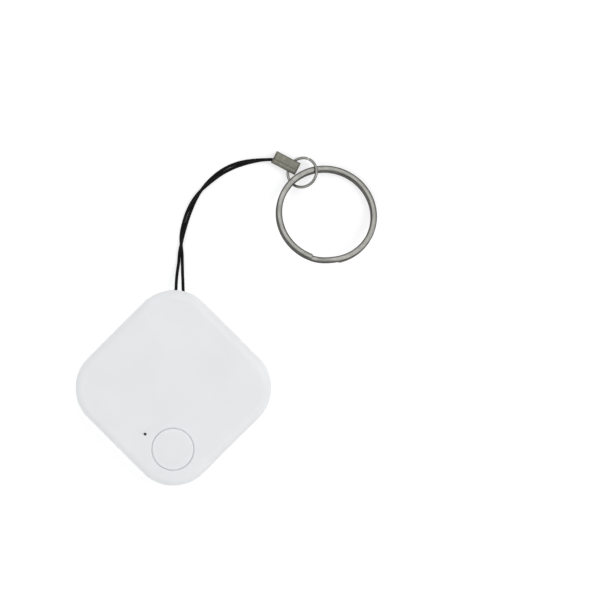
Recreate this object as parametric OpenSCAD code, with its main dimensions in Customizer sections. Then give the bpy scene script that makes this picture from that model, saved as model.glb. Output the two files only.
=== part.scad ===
// Bluetooth tracker tag on a twisted cord lanyard, with the crimp, link ring
// and split key ring that finish it.
//
// Units are millimetres. The tag lies on its back: the origin is the centre of
// its rear face, +Z comes out of the front face, and +Y points to the corner
// that the cord leaves by. The cord and the rings lie on the same table, z = 0.

/* [Case] */
// Side of the rounded square
tag_side = 40; // [30:0.5:50]
// Corner radius seen from the front
corner_r = 10.4; // [6:0.1:14]
// Front face to rear face
tag_thick = 7.4; // [6:0.1:10]
// Round on the front edge
front_edge_r = 2.2; // [1.2:0.1:2.6]
// Round on the rear edge
rear_edge_r = 1.4; // [0.5:0.1:2]
// Height of the seam between the two shells
seam_z = 3.4; // [3:0.1:4.4]
// Round on each shell's edge at the seam
seam_round = 0.15; // [0.1:0.01:0.3]
// Thickness of the rear wall
rear_wall = 1.0; // [0.8:0.1:1.4]
// Thickness of the front wall
front_wall = 1.1; // [0.8:0.1:1.4]
// Height of the locating lip above the seam
lip_height = 1.1; // [0.6:0.1:1.6]
// Radius of the small port beside the button
port_r = 0.35; // [0.2:0.05:0.8]

/* [Button] */
// Radius of the button cap
cap_r = 5.03; // [3:0.01:6]
// Gap between the cap and its hole
cap_gap = 0.24; // [0.1:0.01:0.5]
// Distance from the tag's centre to the button's
button_offset = 14.9; // [12:0.1:16]

/* [Battery] */
// Radius of the coin cell
cell_r = 10; // [8:0.5:12]
// Height of the coin cell
cell_height = 3.2; // [1.6:0.4:3.2]

/* [Lanyard] */
// Diameter of one strand of cord
cord_d = 0.75; // [0.5:0.05:1.2]
// Sides of the cord's tube
cord_sides = 8; // [6:1:12]
// Length of the crimp
crimp_length = 6.6; // [4:0.1:10]
// Width of the crimp
crimp_width = 3.0; // [2.4:0.1:4]
// Height of the crimp
crimp_height = 2.05; // [2:0.05:3]
// Radius of the link ring to the middle of its wire
link_r = 3.7; // [3:0.1:6]
// Diameter of the link ring's wire
link_wire_d = 0.7; // [0.5:0.05:1]

/* [Key ring] */
// Outer radius of the split ring
key_ring_r = 12.5; // [8:0.5:16]
// Width of one coil across the ring
coil_width = 1.5; // [1:0.1:2.5]
// Thickness of one coil along the ring's axis
coil_thick = 0.86; // [0.5:0.02:1.2]

/* [View] */
// Piece to draw

/* [Hidden] */

$fn = 64;

shell_white = [0.90, 0.91, 0.92];
board_green = [0.10, 0.32, 0.20];
nickel = [0.74, 0.73, 0.70];
brass = [0.80, 0.66, 0.36];
black = [0.06, 0.06, 0.07];

// Case: the rear walls are thicker, and carry the lip that locates the front.
shell_wall = 1.2;
lip_gap = 0.1;
lip_wall = 0.6;
cavity_side = tag_side - 2 * shell_wall;
cavity_r = corner_r - shell_wall;
lip_side = cavity_side - 2 * lip_gap;
lip_r = cavity_r - lip_gap;
tray_side = lip_side - 2 * lip_wall;
tray_r = lip_r - lip_wall;
ceiling_z = tag_thick - front_wall;
port_at = [-6.8, -11.2, 0];

// Cord slots, and the post that the cord goes round.
slot_x = [0.45, 2.35];
slot_r = 0.6;
post_at = [1.4, 18.6, 0];
post_r = 1.15;
post_top = 6.2;

// Board.
board_z = 2.0;
board_thick = 0.6;
board_top = board_z + board_thick;
board_side = 33.6;
board_r = 7.6;
board_cut_y = 16.9;
screw_x = 14.5;
screw_y = -1;
screw_r = 0.6;
stud_at = [[-4.2, -16.2], [4.2, -16.2], [-5.5, 14.8], [5.5, 14.8]];

// Coin cell, face up, standing on the negative contact.
cell_at = [0, 3, 0];
cell_z = board_top + 0.35;
cell_top = cell_z + cell_height;

// Button, from the front face down to the switch.
button_at = [0, -button_offset, 0];
flange_r = cap_r + 0.72;
flange_z = ceiling_z - 0.05 - 0.5;
collar_r = flange_r + 0.2;
plunger_top = 4.7;
stem_z = plunger_top + 0.02;

// Piezo buzzer, glued to the rear wall under the coin cell.
piezo_z = rear_wall;

// Crimp: its near end's centre and its heading. The cord's channel lies to one
// side of it, and a cross hole takes the link ring.
crimp_at = [24.6, 56.9, 0];
crimp_turn = -27.6;
channel_y = -0.7;
channel_depth = 3.4;
eye_x = 4.5;
eye_z = 1.1;
eye_r = 0.65;

// Link ring: it hinges in the crimp's eye.
eye_at = [28.6, 54.8, 1.0];
link_yaw = -32;
link_pitch = 20.5;
link_gap_deg = 4;

// Split ring: centre of its middle plane and the lean of that plane.
key_ring_at = [37.5, 42.5];
key_ring_tilt = 17.5;
key_ring_rise = 243;
coil_step = 0.9;
coil_mid_r = key_ring_r - coil_width / 2;

// The two strands follow one middle line, from the post to the crimp.
// Each row: x, y, z of the lower strand, half the gap, turn of the pair.
strand_rise = cord_d + 0.01;
pair_line = [
    [1.4, 18.6, 3.4, 1.53, 0],
    [1.4, 20.2, 3.4, 1.44, 0],
    [1.4, 22.2, 3.4, 1.06, 0],
    [1.4, 24.2, 3.38, 0.88, 0],
    [1.4, 26.2, 3.0, 0.8, 0],
    [1.4, 28.0, 2.2, 0.68, 0],
    [1.45, 29.6, 1.3, 0.55, 0],
    [1.5, 31.3, 0.65, 0.42, 0],
    [1.55, 33.2, 0.44, 0.4, 40],
    [1.65, 35.2, 0.4, 0.4, 90],
    [1.9, 37.6, 0.4, 0.4, 135],
    [2.5, 40.2, 0.4, 0.4, 165],
    [3.4, 43.0, 0.4, 0.4, 190],
    [4.8, 46.0, 0.4, 0.4, 230],
    [6.5, 48.5, 0.4, 0.4, 270],
    [8.8, 50.9, 0.4, 0.4, 315],
    [11.6, 53.1, 0.4, 0.4, 345],
    [14.5, 54.6, 0.4, 0.4, 375],
    [17.4, 55.5, 0.4, 0.4, 405],
    [20.2, 56.0, 0.43, 0.4, 435],
    [22.4, 56.2, 0.55, 0.4, 450],
    [24.2, 56.2, 0.63, 0.4, 450],
    [25.05, 55.88, 0.63, 0.4, 450],
    [26.05, 55.35, 0.63, 0.4, 450],
    [27.29, 54.7, 0.63, 0.4, 450]
];
pair_last = len(pair_line) - 1;
cord_step = 0.75;

function row(i) = i < 0 ? 2 * pair_line[0] - pair_line[1]
                : i > pair_last ? 2 * pair_line[pair_last] - pair_line[pair_last - 1]
                : pair_line[i];

function blend(a, b, c, d, t) = 0.5 * (2 * b + (c - a) * t
    + (2 * a - 5 * b + 4 * c - d) * t * t + (3 * b - a - 3 * c + d) * t * t * t);

function pair_at(u) = let (i = min(floor(u), pair_last - 1))
    blend(row(i - 1), row(i), row(i + 1), row(i + 2), u - i);

function strand_point(u, side) =
    let (p = pair_at(u), ahead = pair_at(min(u + 0.01, pair_last)),
         behind = pair_at(max(u - 0.01, 0)),
         along = [ahead[0] - behind[0], ahead[1] - behind[1]],
         left = [-along[1], along[0]] / norm(along))
    [p[0] + side * left[0] * p[3] * cos(p[4]),
     p[1] + side * left[1] * p[3] * cos(p[4]),
     p[2] + strand_rise * max(0, side * sin(p[4]))];

cord_path = concat(
    [for (u = [pair_last:-cord_step:cord_step / 2]) strand_point(u, 1)],
    [for (a = [180:30:360]) post_at + [pair_line[0][3] * cos(a), pair_line[0][3] * sin(a),
                                       pair_line[0][2]]],
    [for (u = [cord_step:cord_step:pair_last]) strand_point(u, -1)]);

function unit(v) = v / norm(v);

// Tube round a path. Each ring stands square to the path, its sides level.
module tube(path, d, sides) {
    n = len(path);
    rings = [for (i = [0:n - 1])
        let (t = unit(path[min(i + 1, n - 1)] - path[max(i - 1, 0)]),
             across = unit(cross([0, 0, 1], t)), up = cross(t, across))
        for (k = [0:sides - 1])
            path[i] + d / 2 * (cos(360 * k / sides) * across + sin(360 * k / sides) * up)];
    polyhedron(points = rings, faces = concat(
        [[for (k = [0:sides - 1]) sides - 1 - k]],
        [for (i = [0:n - 2], k = [0:sides - 1])
            [i * sides + k, i * sides + (k + 1) % sides,
             (i + 1) * sides + (k + 1) % sides, (i + 1) * sides + k]],
        [[for (k = [0:sides - 1]) (n - 1) * sides + k]]));
}

// Half section of a slab: flat middle, round outer edges.
module edge_profile(r, z0, z1, top_r, low_r) {
    intersection() {
        translate([0, z0]) square([r, z1 - z0]);
        union() {
            translate([0, z0]) square([r - max(top_r, low_r), z1 - z0]);
            translate([0, z0 + low_r]) square([r, z1 - z0 - top_r - low_r]);
            if (top_r > 0) translate([r - top_r, z1 - top_r]) circle(r = top_r);
            if (low_r > 0) translate([r - low_r, z0 + low_r]) circle(r = low_r);
            if (top_r > low_r && low_r > 0) translate([0, z0]) square([r - low_r, low_r]);
            if (low_r > top_r && top_r > 0) translate([0, z1 - top_r]) square([r - top_r, top_r]);
        }
    }
}

// Rounded square slab with its corners on the X and Y axes.
module slab(side, r, z0, z1, top_r = 0, low_r = 0) {
    h = side / 2 - r;
    rotate([0, 0, 45]) {
        translate([-h, -h, z0]) cube([2 * h, 2 * h, z1 - z0]);
        for (q = [0:3]) rotate([0, 0, 90 * q]) translate([h, h, 0]) {
            rotate_extrude(angle = 90) edge_profile(r, z0, z1, top_r, low_r);
            rotate([90, 0, 0]) linear_extrude(2 * h) edge_profile(r, z0, z1, top_r, low_r);
        }
    }
}

module ring(r_in, r_out, z0, z1) {
    translate([0, 0, z0]) difference() {
        cylinder(r = r_out, h = z1 - z0);
        translate([0, 0, -1]) cylinder(r = r_in, h = z1 - z0 + 2);
    }
}

// Half-round slots for the two strands. In the rear shell they are open above.
module cord_slots(open = 0) {
    for (x = slot_x) translate([x, 26, seam_z]) rotate([90, 0, 0]) linear_extrude(6) union() {
        circle(r = slot_r);
        if (open > 0) translate([-slot_r, 0]) square([2 * slot_r, open]);
    }
}

module rear_shell() {
    color(shell_white) difference() {
        union() {
            difference() {
                union() {
                    slab(tag_side, corner_r, 0, seam_z, seam_round, rear_edge_r);
                    slab(lip_side, lip_r, rear_wall, seam_z + lip_height);
                }
                slab(tray_side, tray_r, rear_wall, seam_z + lip_height + 1);
            }
            for (s = [-1, 1]) translate([s * screw_x, screw_y, rear_wall - 0.3])
                cylinder(r = 1.7, h = board_z - rear_wall + 0.3);
            for (p = stud_at) translate([p[0], p[1], rear_wall - 0.3])
                cylinder(r = 0.9, h = board_z - rear_wall + 0.3);
            translate(post_at + [0, 0, rear_wall - 0.3])
                cylinder(r = post_r, h = post_top - rear_wall + 0.3);
            translate(cell_at) ring(9.15, 9.75, rear_wall - 0.3, rear_wall + 0.5);
        }
        for (s = [-1, 1]) translate([s * screw_x, screw_y, 0.6]) cylinder(r = screw_r, h = 3);
        cord_slots(3);
        // Pry notch on the lower right side, under the seam.
        rotate([0, 0, -45]) translate([tag_side / 2 - 0.6, -2.5, seam_z - 0.6])
            cube([1, 5, 1.2]);
    }
}

module front_shell() {
    color(shell_white) difference() {
        union() {
            difference() {
                slab(tag_side, corner_r, seam_z, tag_thick, front_edge_r, seam_round);
                slab(cavity_side, cavity_r, seam_z - 3, ceiling_z, 1.1);
            }
            translate(button_at) ring(collar_r, collar_r + 0.55, 5.0, ceiling_z + 0.2);
            translate(cell_at) difference() {
                ring(cell_r + 0.2, cell_r + 0.9, 4.6, ceiling_z + 0.2);
                translate([-12, -3.2, 4]) cube([24, 6.4, 1.9]);
            }
            translate(post_at) ring(post_r + 0.12, post_r + 0.7, 5.2, ceiling_z + 0.2);
        }
        translate(button_at + [0, 0, 5.9]) cylinder(r = cap_r + cap_gap, h = 3);
        // Slot for the flange's key.
        translate(button_at + [flange_r - 0.3, -0.6, 4.5]) cube([1.6, 1.2, ceiling_z - 4.4]);
        translate(port_at + [0, 0, 6]) cylinder(r = port_r, h = 3);
        translate(port_at + [0, 0, 6]) cylinder(r = 0.9, h = 0.85);
        cord_slots();
    }
}

module button_cap() {
    color(shell_white) translate(button_at) difference() {
        union() {
            rotate_extrude() polygon([[0, flange_z], [flange_r, flange_z],
                [flange_r, flange_z + 0.5], [cap_r, flange_z + 0.5], [cap_r, tag_thick - 0.15],
                [cap_r - 0.15, tag_thick], [0, tag_thick]]);
            translate([0, 0, stem_z]) cylinder(r = 1.1, h = flange_z - stem_z + 0.2);
            translate([flange_r - 0.5, -0.4, flange_z]) cube([1.05, 0.8, 0.5]);
        }
        ring(2.0, 4.2, flange_z - 1, flange_z + 0.75);
    }
}

module circuit_board() {
    color(board_green) difference() {
        slab(board_side, board_r, board_z, board_top);
        translate([-10, board_cut_y, 0]) cube([20, 10, 5]);
        for (s = [-1, 1]) translate([s * screw_x, screw_y, 0]) cylinder(r = 0.75, h = 5);
    }
}

module board_screws() {
    color(nickel) for (s = [-1, 1]) translate([s * screw_x, screw_y, 0]) difference() {
        union() {
            translate([0, 0, 0.7]) cylinder(r = screw_r, h = board_top - 0.6);
            translate([0, 0, board_top]) cylinder(r = 1.4, h = 0.5);
        }
        for (a = [0, 90]) rotate([0, 0, a]) translate([-0.85, -0.15, board_top + 0.25])
            cube([1.7, 0.3, 1]);
    }
}

module battery_can() {
    color(nickel) translate(cell_at) difference() {
        rotate_extrude() polygon([[0, cell_z + 0.2], [cell_r - 0.25, cell_z + 0.2],
            [cell_r, cell_z + 0.45], [cell_r, cell_top - 0.2], [cell_r - 0.2, cell_top],
            [0, cell_top]]);
        cylinder(r = cell_r - 0.6, h = cell_z + 0.5);
    }
}

module battery_cap() {
    color(nickel) translate(cell_at + [0, 0, cell_z]) cylinder(r = cell_r - 1.2, h = 0.5);
}

module battery_grommet() {
    color(black) translate(cell_at) ring(cell_r - 1.2, cell_r - 0.6, cell_z + 0.1, cell_z + 0.5);
}

module negative_contact() {
    color(brass) translate(cell_at + [0, 2, 0]) rotate([90, 0, 0]) linear_extrude(4)
        polygon([[-4, board_top], [-1.6, board_top], [0.4, cell_z - 0.12], [2.4, cell_z - 0.12],
                 [2.4, cell_z], [0.2, cell_z], [-1.7, board_top + 0.12], [-4, board_top + 0.12]]);
}

module positive_contacts() {
    color(brass) for (a = [0, 180]) translate(cell_at) rotate([0, 0, a]) {
        translate([cell_r, -1.6, board_top]) cube([0.15, 3.2, 3]);
        translate([cell_r, -1.6, board_top]) cube([1.9, 3.2, 0.15]);
    }
}

module switch_base() {
    color(black) translate(button_at + [0, 0, board_top]) difference() {
        translate([-2.6, -2.6, 0]) cube([5.2, 5.2, 0.9]);
        translate([0, 0, 0.45]) cylinder(r = 1.7, h = 1);
    }
}

module switch_cover() {
    color(nickel) translate(button_at + [0, 0, board_top + 0.9]) difference() {
        translate([-2.6, -2.6, 0]) cube([5.2, 5.2, 0.6]);
        translate([0, 0, -0.1]) cylinder(r = 1.7, h = 0.5);
        cylinder(r = 1.1, h = 1);
    }
}

module switch_dome() {
    color(nickel) translate(button_at + [0, 0, board_top + 0.45]) rotate_extrude()
        polygon([[0, 0.36], [0.7, 0.3], [1.2, 0.16], [1.6, 0], [1.65, 0], [1.65, 0.08],
                 [1.25, 0.24], [0.75, 0.38], [0, 0.44]]);
}

module switch_plunger() {
    color(black) translate(button_at) {
        translate([0, 0, board_top + 0.9]) cylinder(r = 1.5, h = 0.35);
        translate([0, 0, board_top + 0.9]) cylinder(r = 1.0, h = plunger_top - board_top - 0.9);
    }
}

module part_block(x, y, size, turn = 0) {
    translate([x, y, board_top]) rotate([0, 0, turn])
        translate([-size[0] / 2, -size[1] / 2, 0]) cube(size);
}

module radio_chip() {
    color(black) difference() {
        part_block(6.9, -11.3, [4, 4, 0.85]);
        translate([5.4, -9.8, board_top + 0.8]) cylinder(r = 0.25, h = 1);
    }
}

module chip_antenna() {
    color([0.85, 0.84, 0.78]) part_block(-10.5, 11, [7, 2, 1.1], 45);
}

module main_crystal() {
    color(nickel) part_block(-13.8, 4.2, [2.5, 3.2, 0.75]);
}

module clock_crystal() {
    color(nickel) part_block(-11.9, -4, [2, 1.2, 0.6], -50);
}

module indicator_led() {
    color([0.9, 0.9, 0.8]) {
        part_block(port_at[0], port_at[1], [1.6, 0.9, 0.3]);
        translate([port_at[0], port_at[1], board_top + 0.3]) cylinder(r = 0.42, h = 0.35);
    }
}

module capacitors() {
    color([0.62, 0.5, 0.36]) {
        for (p = [[10.6, -8.4], [12.2, -6.8], [13.8, -5.2]]) part_block(p[0], p[1], [1, 0.5, 0.5], 45);
        for (p = [[9.6, 11.9], [11.6, 9.9]]) part_block(p[0], p[1], [1.6, 0.8, 0.8], -45);
    }
}

module resistors() {
    color(black) for (p = [[-9.4, -9.2], [-10.8, -7.8], [-12.2, -6.4]])
        part_block(p[0], p[1], [1, 0.5, 0.35], -45);
}

module boost_inductor() {
    color([0.25, 0.25, 0.27]) difference() {
        part_block(14.2, 5, [3, 3, 1.4]);
        translate([14.2, 5, board_top + 1.25]) cylinder(r = 1.1, h = 1);
    }
}

module piezo_gasket() {
    color(black) translate(cell_at) ring(7.6, 9, piezo_z, piezo_z + 0.25);
}

module piezo_plate() {
    color(brass) translate(cell_at + [0, 0, piezo_z + 0.25]) cylinder(r = 9, h = 0.15);
}

module piezo_ceramic() {
    color([0.92, 0.90, 0.84]) translate(cell_at + [0, 0, piezo_z + 0.4]) cylinder(r = 6.4, h = 0.12);
}

module buzzer_springs() {
    color(brass) for (s = [[7.9, piezo_z + 0.4], [3.2, piezo_z + 0.52]])
        translate(cell_at + [s[0], 0.4, 0]) rotate([90, 0, 0]) linear_extrude(0.8)
            polygon([[-1.4, board_z - 0.1], [-0.5, board_z - 0.1], [0, s[1]], [0.5, s[1]],
                     [0.5, s[1] + 0.1], [0.1, s[1] + 0.1], [-0.4, board_z], [-1.4, board_z]]);
}

module lanyard_cord() {
    color(black) tube(cord_path, cord_d, cord_sides);
}

module cord_crimp() {
    color(nickel) translate(crimp_at) rotate([0, 0, crimp_turn]) difference() {
        // Folded sleeve with round long edges.
        rotate([90, 0, 90]) linear_extrude(crimp_length) union() {
            translate([-crimp_width / 2 + 0.45, 0]) square([crimp_width - 0.9, crimp_height]);
            translate([-crimp_width / 2, 0.45]) square([crimp_width, crimp_height - 0.9]);
            for (y = [-1, 1], z = [0.45, crimp_height - 0.45])
                translate([y * (crimp_width / 2 - 0.45), z]) circle(r = 0.45);
        }
        // Channel that holds the two strands, one above the other.
        translate([-0.1, channel_y, 0]) rotate([90, 0, 90]) linear_extrude(channel_depth + 0.1)
            union() {
                translate([-0.55, 0.76]) square([1.1, 0.5]);
                for (z = [0.76, 1.26]) translate([0, z]) circle(r = 0.55);
            }
        // Fold line along the top.
        translate([-1, -0.5, crimp_height - 0.1]) cube([crimp_length + 2, 0.12, 1]);
        // Eye for the link ring, wide enough for it to swing and yaw.
        translate([eye_x, 3, eye_z]) rotate([90, 0, 0]) linear_extrude(6) union() {
            translate([-0.4, -eye_r]) square([0.8, 2 * eye_r]);
            for (x = [-0.4, 0.4]) translate([x, 0]) circle(r = eye_r);
        }
    }
}

module link_ring() {
    color(nickel) translate(eye_at) rotate([0, -link_pitch, link_yaw]) translate([link_r, 0, 0])
        rotate([0, 0, 100]) rotate_extrude(angle = 360 - link_gap_deg)
            translate([link_r, 0]) circle(r = link_wire_d / 2);
}

// Height of the split ring's wire at an angle: low coil, cross-over, high coil.
function coil_z(a) = let (t = min(1, max(0, (a - 330) / 27)))
    coil_step * (t * t * (3 - 2 * t) - 0.5);

coil_section = [[-0.5, -0.3], [-0.38, -0.5], [0.38, -0.5], [0.5, -0.3],
                [0.5, 0.3], [0.38, 0.5], [-0.38, 0.5], [-0.5, 0.3]];

module split_ring() {
    steps = 114;
    points = [for (i = [0:steps], s = coil_section)
        let (a = 688 * i / steps, r = coil_mid_r + s[0] * coil_width)
        [r * cos(a), r * sin(a), coil_z(a) + s[1] * coil_thick]];
    lean = key_ring_r * sin(key_ring_tilt) + coil_step * cos(key_ring_tilt);
    color(nickel) translate([key_ring_at[0], key_ring_at[1], lean])
        rotate([0, 0, key_ring_rise]) rotate([0, -key_ring_tilt, 0]) rotate([0, 0, 40])
            polyhedron(points = points, faces = concat(
                [[for (k = [0:7]) k]],
                [for (i = [0:steps - 1], k = [0:7])
                    [i * 8 + k, (i + 1) * 8 + k, (i + 1) * 8 + (k + 1) % 8, i * 8 + (k + 1) % 8]],
                [[for (k = [0:7]) steps * 8 + 7 - k]]));
}

rear_shell();
front_shell();
button_cap();
circuit_board();
board_screws();
battery_can();
battery_cap();
battery_grommet();
negative_contact();
positive_contacts();
switch_base();
switch_cover();
switch_dome();
switch_plunger();
radio_chip();
chip_antenna();
main_crystal();
clock_crystal();
indicator_led();
capacitors();
resistors();
boost_inductor();
piezo_plate();
piezo_ceramic();
piezo_gasket();
buzzer_springs();
lanyard_cord();
cord_crimp();
link_ring();
split_ring();
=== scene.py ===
"""Looks for a bluetooth tracker tag on a cord lanyard: finishes for the moulded
and metal parts, the braided cord, the crimp, the key ring and a plain stage."""

import math

import bmesh
import bpy
from mathutils import Matrix, Vector


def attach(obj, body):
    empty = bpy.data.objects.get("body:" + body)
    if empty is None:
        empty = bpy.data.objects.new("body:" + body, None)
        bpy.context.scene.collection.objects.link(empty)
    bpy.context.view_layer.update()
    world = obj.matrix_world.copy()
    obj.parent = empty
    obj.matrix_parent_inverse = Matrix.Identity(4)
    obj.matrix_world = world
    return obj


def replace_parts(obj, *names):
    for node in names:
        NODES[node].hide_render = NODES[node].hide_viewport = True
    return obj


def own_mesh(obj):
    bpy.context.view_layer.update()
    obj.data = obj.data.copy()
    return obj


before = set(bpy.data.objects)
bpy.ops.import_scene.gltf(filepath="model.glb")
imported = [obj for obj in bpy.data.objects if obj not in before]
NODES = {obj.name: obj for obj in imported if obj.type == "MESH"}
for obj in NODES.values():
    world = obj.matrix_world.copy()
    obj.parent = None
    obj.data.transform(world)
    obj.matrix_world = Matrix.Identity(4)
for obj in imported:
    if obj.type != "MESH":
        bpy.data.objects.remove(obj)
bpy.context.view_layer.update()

bl_info = {
    "name": "Tracker Tag Looks",
    "version": (1, 0, 0),
    "blender": (4, 5, 0),
    "location": "3D Viewport > Sidebar > Tracker Tag",
    "description": "Finishes, cord, rings and stage for a tracker tag",
    "category": "Object",
}

MM = 0.001


# ---------------------------------------------------------------- shaders


class Term:
    """A socket that can be used in arithmetic; each sum adds its Math nodes."""

    def __init__(self, tree, socket):
        self.tree = tree
        self.socket = socket

    def math(self, operation, *others, clamp=False):
        node = self.tree.nodes.new("ShaderNodeMath")
        node.operation = operation
        node.use_clamp = clamp
        for slot, value in zip(node.inputs, others):
            if isinstance(value, Term):
                self.tree.links.new(value.socket, slot)
            else:
                slot.default_value = value
        return Term(self.tree, node.outputs[0])

    def __add__(self, other):
        return self.math("ADD", self, other)

    def __radd__(self, other):
        return self.math("ADD", other, self)

    def __sub__(self, other):
        return self.math("SUBTRACT", self, other)

    def __rsub__(self, other):
        return self.math("SUBTRACT", other, self)

    def __mul__(self, other):
        return self.math("MULTIPLY", self, other)

    def __rmul__(self, other):
        return self.math("MULTIPLY", other, self)

    def __truediv__(self, other):
        return self.math("DIVIDE", self, other)

    def __rtruediv__(self, other):
        return self.math("DIVIDE", other, self)

    def __lt__(self, other):
        return self.math("LESS_THAN", self, other)

    def __gt__(self, other):
        return self.math("GREATER_THAN", self, other)

    def fraction(self):
        return self.math("FRACT", self)

    def size(self):
        return self.math("ABSOLUTE", self)

    def root(self):
        return self.math("SQRT", self)

    def least(self, other):
        return self.math("MINIMUM", self, other)

    def most(self, other):
        return self.math("MAXIMUM", self, other)

    def clamped(self):
        return self.math("ADD", self, 0.0, clamp=True)

    def ramp(self, low, high):
        """0 below low, 1 above high, straight between."""
        return ((self - low) * (1.0 / (high - low))).clamped()


class Sheet:
    """A node tree that ends in one shader."""

    def __init__(self, tree, shader):
        self.tree = tree
        self.shader = tree.nodes[shader]

    def add(self, kind, settings=None, inputs=None, out=0):
        """One node: its type, its settings, its inputs, and the output wanted."""
        node = self.tree.nodes.new(kind)
        for key, value in (settings or {}).items():
            if key == "stops":
                for element, (at, colour) in zip(node.color_ramp.elements, value):
                    element.position = at
                    element.color = (*colour, 1.0)
            else:
                setattr(node, key, value)
        for key, value in (inputs or {}).items():
            self.feed(node.inputs[key], value)
        return Term(self.tree, node.outputs[out])

    def feed(self, socket, value):
        """Links a term to a socket, or sets the socket to a value."""
        if isinstance(value, Term):
            self.tree.links.new(value.socket, socket)
        elif socket.type == "RGBA":
            socket.default_value = (*value[:3], 1.0)
        else:
            socket.default_value = value

    def set(self, socket, value):
        self.feed(self.shader.inputs[socket], value)

    def split(self, vector, scale=1.0):
        """The three numbers of a vector, times scale."""
        return [
            self.add("ShaderNodeSeparateXYZ", inputs={0: vector}, out=axis) * scale
            for axis in "XYZ"
        ]

    def join(self, x, y, z):
        return self.add("ShaderNodeCombineXYZ", inputs={"X": x, "Y": y, "Z": z})

    def blend(self, amount, first, second):
        """Two colours mixed by amount."""
        return self.add("ShaderNodeMix", {"data_type": "RGBA"},
                        {0: amount, 6: first, 7: second}, out=2)


class Finish(Sheet):
    """One procedural material, built round a Principled shader."""

    def __init__(self, name, colour, roughness, metallic=0.0, fixed=None):
        self.material = bpy.data.materials.new(name)
        self.material.use_nodes = True
        self.material.diffuse_color = (*colour, 1.0)
        super().__init__(self.material.node_tree, "Principled BSDF")
        self.set("Base Color", colour)
        self.set("Roughness", roughness)
        self.set("Metallic", metallic)
        for socket, value in (fixed or {}).items():
            self.set(socket, value)
        self.place = self.add("ShaderNodeTexCoord", out="Object")
        self.x, self.y, self.z = self.split(self.place, 1.0 / MM)

    def noise(self, grain_mm, detail=2.0, place=None, stretch=(1, 1, 1), roughness=0.5):
        """Soft noise whose grain is given in millimetres."""
        spread = self.add(
            "ShaderNodeVectorMath",
            {"operation": "MULTIPLY"},
            {0: place or self.place, 1: [1.0 / MM / grain_mm / s for s in stretch]},
        )
        return self.add(
            "ShaderNodeTexNoise",
            None,
            {"Vector": spread, "Scale": 1.0, "Detail": detail, "Roughness": roughness},
        )

    def cells(self, size_mm):
        """Distance to the middle of the nearest of many scattered cells."""
        spread = self.add(
            "ShaderNodeVectorMath",
            {"operation": "SCALE"},
            {0: self.place, "Scale": 1.0 / MM / size_mm},
        )
        return self.add(
            "ShaderNodeTexVoronoi", {"feature": "F1"}, {"Vector": spread, "Scale": 1.0},
            "Distance",
        )

    def scratches(self, length_mm, spacing_mm):
        """1 on fine stray scratches, in two directions and in patches."""
        one, two = (
            1.0 - (self.noise(1.0, 1.0, stretch=stretch) - 0.5).size().ramp(0.004, 0.014)
            for stretch in ((length_mm, spacing_mm, spacing_mm),
                            (spacing_mm, length_mm, spacing_mm))
        )
        return one.most(two) * self.noise(1.3, 1.0).ramp(0.5, 0.7)

    def box_edge(self, middle, half, turn=0.0):
        """Distance outside a turned rectangle in plan, negative inside it."""
        c, n = math.cos(math.radians(turn)), math.sin(math.radians(turn))
        dx, dy = self.x - middle[0], self.y - middle[1]
        along = (dx * c + dy * n).size() - half[0]
        across = (dy * c - dx * n).size() - half[1]
        return along.most(across)

    def plus_sign(self, middle, arm=1.0, bar=0.16):
        """1 on a plus sign in plan."""
        flat = self.box_edge(middle, (arm, bar))
        upright = self.box_edge(middle, (bar, arm))
        return 1.0 - flat.least(upright).ramp(-0.03, 0.03)

    def bump(self, height, depth_mm, strength=1.0):
        """Raises the surface by height times depth."""
        self.set(
            "Normal",
            self.add(
                "ShaderNodeBump",
                None,
                {"Height": height, "Distance": depth_mm * MM, "Strength": strength},
            ),
        )


def shaded(colour, factor):
    """The colour, darker or lighter."""
    return tuple(min(1.0, c * factor) for c in colour)


def moulded_plastic(name, colour, roughness, grain=0.09, depth=0.004, fixed=None):
    """Spark-eroded moulding: fine even grain, faint flow variation."""
    f = Finish(name, colour, roughness, fixed={"IOR": 1.49, **(fixed or {})})
    fine = f.noise(grain, 3.0, roughness=0.6)
    flow = f.noise(9.0, 2.0)
    f.set("Base Color", f.blend(flow.ramp(0.3, 0.7), shaded(colour, 0.985), shaded(colour, 1.01)))
    f.set("Roughness", roughness - 0.04 + 0.05 * flow + 0.06 * fine)
    f.bump(fine, depth, 0.6)
    return f


def plated_metal(name, colour, roughness, brush=(8, 1, 1), grain=0.12, worn=0.25):
    """Plated metal with drawn lines, cloudy tarnish and fine scratches."""
    f = Finish(name, colour, roughness, 1.0)
    lines = f.noise(grain, 4.0, stretch=brush, roughness=0.7)
    cloud = f.noise(1.6, 3.0)
    pits = f.cells(0.35).ramp(0.0, 0.16)
    tarnish = cloud.ramp(0.42, 0.72)
    tone = f.blend(tarnish, shaded(colour, 1.06), shaded(colour, 1.0 - worn))
    f.set("Base Color", f.blend((1.0 - pits) * 0.35, tone, shaded(colour, 0.55)))
    f.set("Roughness", roughness + 0.14 * tarnish + 0.12 * (lines - 0.5))
    f.bump(lines * 0.6 + pits * 0.4, 0.006, 0.5)
    return f


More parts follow.
